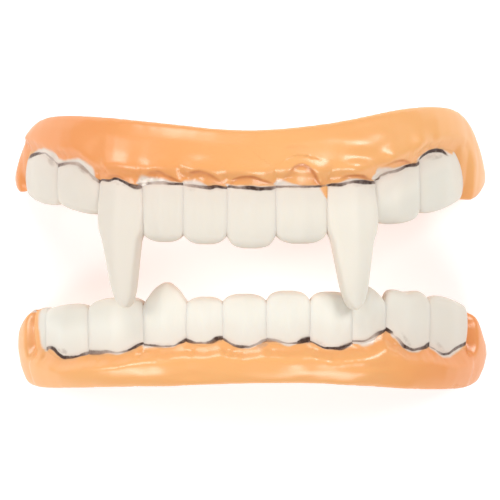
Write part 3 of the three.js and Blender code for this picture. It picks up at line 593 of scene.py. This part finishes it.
def build_tooth(plate, node, material, settings):
    """A tooth: the solid smoothed and swelled to meet its neighbours, with a faint groove or two."""
    piece = copy_of_solid(node, node + "_vinyl")
    bpy.ops.object.mode_set(mode="EDIT")
    bpy.ops.mesh.select_all(action="SELECT")
    bpy.ops.mesh.tris_convert_to_quads(face_threshold=math.radians(60), shape_threshold=math.radians(60))
    bpy.ops.object.mode_set(mode="OBJECT")
    rounding = piece.modifiers.new("rounding", "SUBSURF")
    rounding.levels = rounding.render_levels = 3
    bpy.ops.object.modifier_apply(modifier="rounding")

    points = vertices_of(piece)
    facing = normals_of(piece)
    at, out, normal = arch_place(plate, points[:, [0, 2]])
    along = arch_length(plate, at)
    height = gum_height(plate, points)
    edge = edge_distance(plate, along, height)
    low, high = tooth_span(plate, node)
    across = (at - (low + high) / 2) / ((high - low) / 2)
    tip = height.min()
    down = np.clip(-edge / max(0.1, -tip), 0, 1)
    outward = (facing[:, [0, 2]] * normal).sum(1)
    front = step(outward, 0.2, 0.8)
    swell = settings.swell / MM + NECK_SWELL * front * (1 - step(-edge, 0.0, 2.5))
    grooves = GROOVE_DEPTH * front * np.cos(across * 2.4 * math.pi) * step(-edge, 0.5, 2.5)
    points += facing * (swell + grooves)[:, None]
    meeting = step(np.abs(across), 0.3, 1.0) * np.sign(across) * (1 - step(-height, 5.6, 7.8))
    points[:, 0] += settings.meeting / MM * meeting * normal[:, 1]
    points[:, 2] -= settings.meeting / MM * meeting * normal[:, 0]
    move_vertices(piece, points)
    keep_values(
        piece, edge=edge, down=down, across=np.abs(across), along=along,
        painted=step(outward, -0.3, 0.2), drip=drip_cover(plate, along, height),
        **brushed_values(plate, along, height),
    )
    finish_piece(piece, node, material)


# Finishes


def link(tree, *pairs):
    for source, target in pairs:
        tree.links.new(source, target)


def maths(tree, operation, *values, clamp=False):
    """A Math node on numbers or sockets; gives its output."""
    node = tree.nodes.new("ShaderNodeMath")
    node.operation, node.use_clamp = operation, clamp
    for i, value in enumerate(values):
        if isinstance(value, (int, float)):
            node.inputs[i].default_value = value
        else:
            tree.links.new(value, node.inputs[i])
    return node.outputs[0]


def times(tree, *values, clamp=False):
    return maths(tree, "MULTIPLY", *values, clamp=clamp)


def inverse(tree, value):
    return maths(tree, "SUBTRACT", 1.0, value)


def between(tree, value, low, high):
    """Smooth 0 to 1 as a value goes from low to high (numbers or sockets)."""
    node = tree.nodes.new("ShaderNodeMapRange")
    node.interpolation_type = "SMOOTHSTEP"
    tree.links.new(value, node.inputs["Value"])
    for name, limit in (("From Min", low), ("From Max", high)):
        if isinstance(limit, (int, float)):
            node.inputs[name].default_value = limit
        else:
            tree.links.new(limit, node.inputs[name])
    return node.outputs["Result"]


def mixed(tree, share, first, second):
    """A colour mix of colours or sockets; gives its output."""
    node = tree.nodes.new("ShaderNodeMix")
    node.data_type = "RGBA"
    for socket, value in ((node.inputs[0], share), (node.inputs[6], first), (node.inputs[7], second)):
        if isinstance(value, bpy.types.NodeSocket):
            tree.links.new(value, socket)
        else:
            socket.default_value = value
    return node.outputs[2]


def noise(tree, scale, detail=2.0, roughness=0.5):
    """A noise pattern fixed to the piece; gives its value."""
    coordinates = tree.nodes.new("ShaderNodeTexCoord")
    texture = tree.nodes.new("ShaderNodeTexNoise")
    texture.inputs["Scale"].default_value = scale
    texture.inputs["Detail"].default_value = detail
    texture.inputs["Roughness"].default_value = roughness
    tree.links.new(coordinates.outputs["Object"], texture.inputs["Vector"])
    return texture.outputs["Fac"]


def attribute(tree, name):
    node = tree.nodes.new("ShaderNodeAttribute")
    node.attribute_type, node.attribute_name = "GEOMETRY", name
    return node.outputs["Fac"]


def brushed_line_group():
    """The hand-brushed line: broken and uneven, with a smudge beside it and the orange beyond it."""
    group = bpy.data.node_groups.new("brushed_line", "ShaderNodeTree")
    face = group.interface
    for name in ("Distance", "Width", "Darkness", "Bare"):
        face.new_socket(name, in_out="INPUT", socket_type="NodeSocketFloat")
    for name in ("Line", "Smudge", "Orange"):
        face.new_socket(name, in_out="OUTPUT", socket_type="NodeSocketFloat")
    start = group.nodes.new("NodeGroupInput")
    end = group.nodes.new("NodeGroupOutput")
    distance, width, darkness, bare = (start.outputs[i] for i in range(4))
    broad = noise(group, 420.0, 2.0)
    fine = noise(group, 1500.0, 3.0, 0.6)
    size = times(group, width, maths(group, "ADD", 0.6, times(group, broad, 0.8)))
    wander = times(group, maths(group, "SUBTRACT", fine, 0.5), 0.1)
    off = maths(group, "ABSOLUTE", maths(group, "ADD", distance, wander))
    core = inverse(group, between(group, off, times(group, size, 0.45), size))
    worn = maths(group, "ADD", times(group, fine, 0.9), 0.6)
    cover = times(group, times(group, darkness, worn), core, clamp=True)
    link(group, (cover, end.inputs["Line"]))
    wide = maths(group, "ADD", size, 0.45)
    halo = inverse(group, between(group, off, 0.05, wide))
    patchy = times(group, between(group, broad, 0.3, 0.7), darkness)
    link(group, (times(group, halo, patchy), end.inputs["Smudge"]))
    soft = maths(group, "ADD", times(group, bare, 0.25), 0.12)
    drift = times(group, maths(group, "SUBTRACT", broad, 0.5), 0.5)
    uneven = maths(group, "ADD", distance, drift)
    link(group, (
        between(group, uneven, maths(group, "SUBTRACT", bare, soft), maths(group, "ADD", bare, soft)),
        end.inputs["Orange"],
    ))
    return group


def use_group(tree, group, **values):
    node = tree.nodes.new("ShaderNodeGroup")
    node.node_tree = group
    for name, value in values.items():
        tree.links.new(value, node.inputs[name])
    return node


def new_material(name):
    material = bpy.data.materials.new(name)
    material.use_nodes = True
    tree = material.node_tree
    tree.nodes.clear()
    shader = tree.nodes.new("ShaderNodeBsdfPrincipled")
    surface = tree.nodes.new("ShaderNodeOutputMaterial")
    tree.links.new(shader.outputs[0], surface.inputs["Surface"])
    return material, tree, shader


def brushed_line(tree, paint):
    """The brushed line's masks on a piece, from the values that its points keep."""
    return use_group(
        tree, bpy.data.node_groups.get("brushed_line") or brushed_line_group(),
        Distance=attribute(tree, "paint"), Darkness=attribute(tree, "dark"), Bare=attribute(tree, "bare"),
        Width=times(tree, attribute(tree, "width"), paint.line_width),
    ).outputs


def add_line(tree, colour, masks, paint):
    """The brushed line, its smudge and its brush marks over a colour."""
    painted = attribute(tree, "painted")
    marks = times(tree, attribute(tree, "mark"), between(tree, noise(tree, 900.0, 3.0), 0.3, 0.62))
    smudge = maths(tree, "MAXIMUM", times(tree, masks["Smudge"], paint.smudge), marks)
    colour = mixed(tree, times(tree, smudge, painted), colour, tuple(paint.smudge_colour))
    thick = between(tree, attribute(tree, "dark"), 0.4, 0.95)
    ink = mixed(tree, thick, tuple(paint.thin_line), tuple(paint.line))
    return mixed(tree, times(tree, masks["Line"], painted), colour, ink)


def gum_material(plate, settings, paint):
    """Glossy flesh-orange vinyl: airbrushed variation, soft creases with painted shade under and in them, a
    bare rim and the brushed line.
    """
    material, tree, shader = new_material(plate["name"] + "_gum_vinyl")
    edge, crease, along = (attribute(tree, n) for n in ("edge", "crease", "along"))
    masks = brushed_line(tree, paint)
    cloud = noise(tree, 55.0, 2.0)
    to_end = between(tree, along, plate["deep_from"], plate["deep_to"])
    deep = maths(tree, "ADD", times(tree, to_end, 0.8), times(tree, cloud, 0.25), clamp=True)
    colour = mixed(tree, deep, tuple(settings.light_orange), tuple(settings.deep_orange))
    near = inverse(tree, between(tree, edge, 0.2, 2.4))
    colour = mixed(tree, times(tree, near, 0.3), colour, tuple(settings.deep_orange))
    # Painted shade in the pocket under each crease's raised ledge.
    under = times(tree, between(tree, crease, -1.3, -0.1), between(tree, crease, 0.3, 0.0))
    shade = attribute(tree, "shade")
    colour = mixed(tree, times(tree, times(tree, under, shade), 0.45), colour,
                   tuple(settings.crease_shade_orange))
    # Painted shadow: a thin dark line in each crease, where the raised sheet above it shades it.
    line = times(tree, between(tree, crease, -0.5, -0.02), between(tree, crease, 0.4, 0.0))
    line = times(tree, line, between(tree, noise(tree, 450.0), 0.2, 0.6))
    colour = mixed(tree, times(tree, times(tree, line, shade), 0.6), colour,
                   tuple(settings.crease_shadow_brown))
    inside = inverse(tree, attribute(tree, "front"))
    colour = mixed(tree, maths(tree, "MAXIMUM", masks["Orange"], inside), tuple(settings.bare_vinyl), colour)
    colour = add_line(tree, colour, masks, paint)
    link(tree, (colour, shader.inputs["Base Color"]))
    bump = tree.nodes.new("ShaderNodeBump")
    bump.inputs["Strength"].default_value = 0.2
    bump.inputs["Distance"].default_value = 0.00015
    link(tree, (noise(tree, 260.0, 3.0), bump.inputs["Height"]), (bump.outputs[0], shader.inputs["Normal"]))
    rough = tree.nodes.new("ShaderNodeMapRange")
    rough.inputs["To Min"].default_value = settings.gloss * 0.8
    rough.inputs["To Max"].default_value = settings.gloss * 1.25
    link(tree, (cloud, rough.inputs["Value"]), (rough.outputs[0], shader.inputs["Roughness"]))
    link(tree, (times(tree, attribute(tree, "lacquer"), 0.75), shader.inputs["Coat Weight"]))
    shader.inputs["Specular IOR Level"].default_value = 0.25
    shader.inputs["Coat Roughness"].default_value = 0.26
    shader.inputs["Subsurface Weight"].default_value = 0.12
    shader.inputs["Subsurface Radius"].default_value = (1.0, 0.45, 0.25)
    shader.inputs["Subsurface Scale"].default_value = 0.001
    return material


def tooth_material(plate, body, settings, paint):
    """Satin off-white vinyl: warm at the neck, duller at the tip, with painted shade between the teeth and
    towards one end of the plate, a drip and the brushed line.
    """
    material, tree, shader = new_material(plate["name"] + "_tooth_vinyl")
    edge, down, across = (attribute(tree, n) for n in ("edge", "down", "across"))
    masks = brushed_line(tree, paint)
    below = times(tree, edge, -1.0)
    cloud = noise(tree, 120.0, 2.0)
    colour = mixed(tree, between(tree, down, 0.55, 1.0), tuple(body), tuple(settings.tip_colour))
    # Painted shade: the teeth darken towards the end of the plate that turns away from the light.
    to_end = between(tree, attribute(tree, "along"), plate["teeth_shade_from"], plate["deep_to"])
    colour = mixed(tree, times(tree, to_end, 0.9), colour, tuple(settings.shaded_end_colour))
    neck = inverse(tree, between(tree, below, 0.4, 4.0))
    colour = mixed(tree, times(tree, neck, settings.neck_strength), colour, tuple(settings.neck_colour))
    # Painted shade in the grooves between the teeth: the colour darkens towards each tooth's sides.
    side = times(tree, between(tree, across, 0.68, 1.02), 0.5)
    colour = mixed(tree, side, colour, tuple(settings.groove_shade_colour))
    colour = mixed(tree, times(tree, cloud, 0.2), colour, tuple(settings.tip_colour))
    flesh = times(tree, inverse(tree, between(tree, below, 0.0, 0.9)), 0.45)
    colour = mixed(tree, flesh, colour, tuple(settings.flesh_tint))
    orange = maths(tree, "MAXIMUM", masks["Orange"], attribute(tree, "drip"))
    colour = mixed(tree, orange, colour, tuple(settings.overspray))
    colour = add_line(tree, colour, masks, paint)
    link(tree, (colour, shader.inputs["Base Color"]))
    bump = tree.nodes.new("ShaderNodeBump")
    bump.inputs["Strength"].default_value = 0.2
    bump.inputs["Distance"].default_value = 0.0001
    link(tree, (noise(tree, 420.0, 3.0), bump.inputs["Height"]), (bump.outputs[0], shader.inputs["Normal"]))
    rough = tree.nodes.new("ShaderNodeMapRange")
    rough.inputs["To Min"].default_value = settings.satin * 0.9
    rough.inputs["To Max"].default_value = settings.satin * 1.15
    link(tree, (cloud, rough.inputs["Value"]), (rough.outputs[0], shader.inputs["Roughness"]))
    shader.inputs["Specular IOR Level"].default_value = 0.35
    shader.inputs["Subsurface Weight"].default_value = 0.35
    shader.inputs["Subsurface Radius"].default_value = (1.0, 0.8, 0.6)
    shader.inputs["Subsurface Scale"].default_value = 0.0015
    return material


# Settings


def colour_setting(name, description, default):
    return bpy.props.FloatVectorProperty(
        name=name, description=description, subtype="COLOR", size=4, min=0, max=1, default=(*default, 1)
    )


class PaintSettings(bpy.types.PropertyGroup):
    line: colour_setting("Line", "Paint of the brushed line where it is thick", (0.05, 0.02, 0.012))
    thin_line: colour_setting("Thin line", "Paint of the brushed line where it is thin", (0.23, 0.135, 0.1))
    smudge_colour: colour_setting("Smudges", "Thinned paint beside the line", (0.36, 0.27, 0.215))
    line_width: bpy.props.FloatProperty(
        name="Line width", description="Width of the brushed line against its measured width", default=1.05,
        min=0, subtype="FACTOR",
    )
    smudge: bpy.props.FloatProperty(
        name="Smudge", description="Strength of the thinned paint beside the line", default=0.4, min=0, max=1,
        subtype="FACTOR",
    )


class GumSettings(bpy.types.PropertyGroup):
    light_orange: colour_setting("Light orange", "Gum colour over the front teeth", (0.83, 0.42, 0.155))
    deep_orange: colour_setting("Deep orange", "Gum colour at one end and by the teeth", (0.77, 0.285, 0.088))
    # Painted shade under the creases and painted shadow in them.
    crease_shade_orange: colour_setting("Crease orange", "Colour under the creases", (0.72, 0.22, 0.065))
    crease_shadow_brown: colour_setting("Crease brown", "Colour in the creases", (0.42, 0.11, 0.03))
    bare_vinyl: colour_setting("Bare vinyl", "Unpainted vinyl between line and orange", (0.72, 0.61, 0.52))
    gloss: bpy.props.FloatProperty(
        name="Gloss", description="Roughness of the wet-looking gum", default=0.3, min=0, max=1,
        subtype="FACTOR",
    )
    mesh_size: bpy.props.FloatProperty(
        name="Mesh size", description="Spacing of the remeshed gum", default=0.00028, min=0.0002,
        unit="LENGTH",
    )
    crease_relief: bpy.props.FloatProperty(
        name="Crease relief", description="Height of the step over each tooth root", default=0.0003,
        unit="LENGTH",
    )
    edge_taper: bpy.props.FloatProperty(
        name="Edge taper", description="Width over which the gum thins out onto the teeth", default=0.0042,
        unit="LENGTH",
    )


class TeethSettings(bpy.types.PropertyGroup):
    upper_colour: colour_setting("Upper teeth", "Colour of the upper teeth", (0.755, 0.71, 0.62))
    lower_colour: colour_setting("Lower teeth", "Colour of the lower teeth", (0.76, 0.73, 0.65))
    neck_colour: colour_setting("Necks", "Colour at the necks", (0.68, 0.60, 0.52))
    # Painted shade in the grooves between the teeth.
    groove_shade_colour: colour_setting("Sides", "Colour between the teeth", (0.70, 0.59, 0.51))
    tip_colour: colour_setting("Tips", "Colour of the thin tips", (0.70, 0.665, 0.585))
    # Painted shade towards the end of each plate that turns away from the light.
    shaded_end_colour: colour_setting("Deep end", "Colour towards the darker end of each plate", (0.67, 0.61, 0.53))
    flesh_tint: colour_setting("Flesh tint", "Gum colour that shows through at the necks", (0.74, 0.59, 0.50))
    overspray: colour_setting("Overspray", "Orange sprayed over onto the teeth", (0.82, 0.40, 0.15))
    neck_strength: bpy.props.FloatProperty(
        name="Neck strength", description="How strongly the necks are tinted", default=0.6, min=0, max=1,
        subtype="FACTOR",
    )
    satin: bpy.props.FloatProperty(
        name="Satin", description="Roughness of the teeth", default=0.5, min=0, max=1, subtype="FACTOR",
    )
    swell: bpy.props.FloatProperty(
        name="Swell", description="How far each tooth swells all round", default=0.0001, unit="LENGTH",
    )
    meeting: bpy.props.FloatProperty(
        name="Meeting", description="How far each tooth leans into its neighbours at its sides",
        default=0.0005, unit="LENGTH",
    )


class StageSettings(bpy.types.PropertyGroup):
    camera_height: bpy.props.FloatProperty(
        name="Camera height", description="Height of the camera above the table", default=0.42, unit="LENGTH",
    )
    seen_width: bpy.props.FloatProperty(
        name="Seen width", description="Width of table that the picture shows", default=0.078, unit="LENGTH",
    )
    table_size: bpy.props.FloatProperty(
        name="Table size", description="Side of the pale table", default=2.4, unit="LENGTH",
    )
    table_colour: colour_setting("Table", "Colour of the pale table", (0.68, 0.69, 0.7))
    table_glow: bpy.props.FloatProperty(
        name="Table glow", description="How brightly the table is lit from below", default=0.5, min=0,
    )
    room_light: bpy.props.FloatProperty(
        name="Room light", description="Strength of the even light from all around", default=0.26, min=0,
    )


# Operators


class DENTURE_OT_gums(bpy.types.Operator):
    """Build both gum troughs around their teeth, with their creases, lumps and brushed lines"""

    bl_idname = "denture.gums"
    bl_label = "Build Gums"

    def execute(self, context):
        settings, paint = context.scene.denture_gum, context.scene.denture_paint
        for plate, lumps in ((UPPER, UPPER_LUMPS), (LOWER, LOWER_LUMPS)):
            build_gum(plate, lumps, gum_material(plate, settings, paint), settings)
        return {"FINISHED"}


class DENTURE_OT_teeth(bpy.types.Operator):
    """Build the fangs and all other teeth of both plates"""

    bl_idname = "denture.teeth"
    bl_label = "Build Teeth"

    def execute(self, context):
        settings, paint = context.scene.denture_teeth, context.scene.denture_paint
        for plate, colour in ((UPPER, settings.upper_colour), (LOWER, settings.lower_colour)):
            material = tooth_material(plate, colour, settings, paint)
            for node in plate["teeth"]:
                build_tooth(plate, node, material, settings)
        return {"FINISHED"}


class DENTURE_OT_stage(bpy.types.Operator):
    """Set the pale table, the soft lights and the camera above the denture"""

    bl_idname = "denture.stage"
    bl_label = "Set Stage"

    def execute(self, context):
        settings = context.scene.denture_stage
        bpy.ops.object.select_all(action="DESELECT")
        bpy.ops.mesh.primitive_plane_add(size=settings.table_size, location=(0, 0, 0))
        table = context.object
        table.name = "pale_table"
        material, tree, shader = new_material("table_paper")
        grain = noise(tree, 30.0, 2.0)
        paper = mixed(tree, times(tree, grain, 0.05), tuple(settings.table_colour), (1, 1, 1, 1))
        link(tree, (paper, shader.inputs["Base Color"]))
        shader.inputs["Roughness"].default_value = 0.8
        shader.inputs["Specular IOR Level"].default_value = 0.1
        shader.inputs["Emission Color"].default_value = (1, 1, 1, 1)
        shader.inputs["Emission Strength"].default_value = settings.table_glow
        table.data.materials.append(material)

        world = bpy.data.worlds.new("soft_room")
        context.scene.world = world
        world.use_nodes = True
        world.node_tree.nodes["Background"].inputs["Color"].default_value = (1, 1, 1, 1)
        world.node_tree.nodes["Background"].inputs["Strength"].default_value = settings.room_light
        for name, place, size, power in LIGHTS:
            bpy.ops.object.light_add(type="AREA", location=place)
            light = context.object
            light.name = name
            light.data.size = size
            light.data.energy = power
            light.rotation_euler = Vector(place).to_track_quat("Z", "Y").to_euler()

        bpy.ops.object.camera_add(location=(-0.00015, -0.00025, settings.camera_height), rotation=(0, 0, 0))
        camera = context.object
        camera.data.sensor_width = SENSOR_WIDTH
        camera.data.lens = SENSOR_WIDTH * settings.camera_height / settings.seen_width
        camera.data.clip_start, camera.data.clip_end = 0.01, 10
        context.scene.camera = camera
        context.scene.view_settings.view_transform = "Standard"
        return {"FINISHED"}


class DENTURE_PT_panel(bpy.types.Panel):
    """The denture's steps and settings"""

    bl_label = "Vampire Denture"
    bl_idname = "DENTURE_PT_panel"
    bl_space_type = "VIEW_3D"
    bl_region_type = "UI"
    bl_category = "Denture"

    def draw(self, context):
        for operator, settings in (
            (None, context.scene.denture_paint),
            ("denture.gums", context.scene.denture_gum),
            ("denture.teeth", context.scene.denture_teeth),
            ("denture.stage", context.scene.denture_stage),
        ):
            box = self.layout.box()
            if operator:
                box.operator(operator)
            for name in settings.__annotations__:
                box.prop(settings, name)


CLASSES = (
    PaintSettings, GumSettings, TeethSettings, StageSettings,
    DENTURE_OT_gums, DENTURE_OT_teeth, DENTURE_OT_stage, DENTURE_PT_panel,
)


def register():
    for cls in CLASSES:
        bpy.utils.register_class(cls)
    bpy.types.Scene.denture_paint = bpy.props.PointerProperty(type=PaintSettings)
    bpy.types.Scene.denture_gum = bpy.props.PointerProperty(type=GumSettings)
    bpy.types.Scene.denture_teeth = bpy.props.PointerProperty(type=TeethSettings)
    bpy.types.Scene.denture_stage = bpy.props.PointerProperty(type=StageSettings)


def unregister():
    for name in ("denture_paint", "denture_gum", "denture_teeth", "denture_stage"):
        delattr(bpy.types.Scene, name)
    for cls in reversed(CLASSES):
        bpy.utils.unregister_class(cls)


def main():
    register()
    bpy.ops.denture.teeth()
    bpy.ops.denture.gums()
    bpy.ops.denture.stage()


if __name__ == "__main__":
    main()
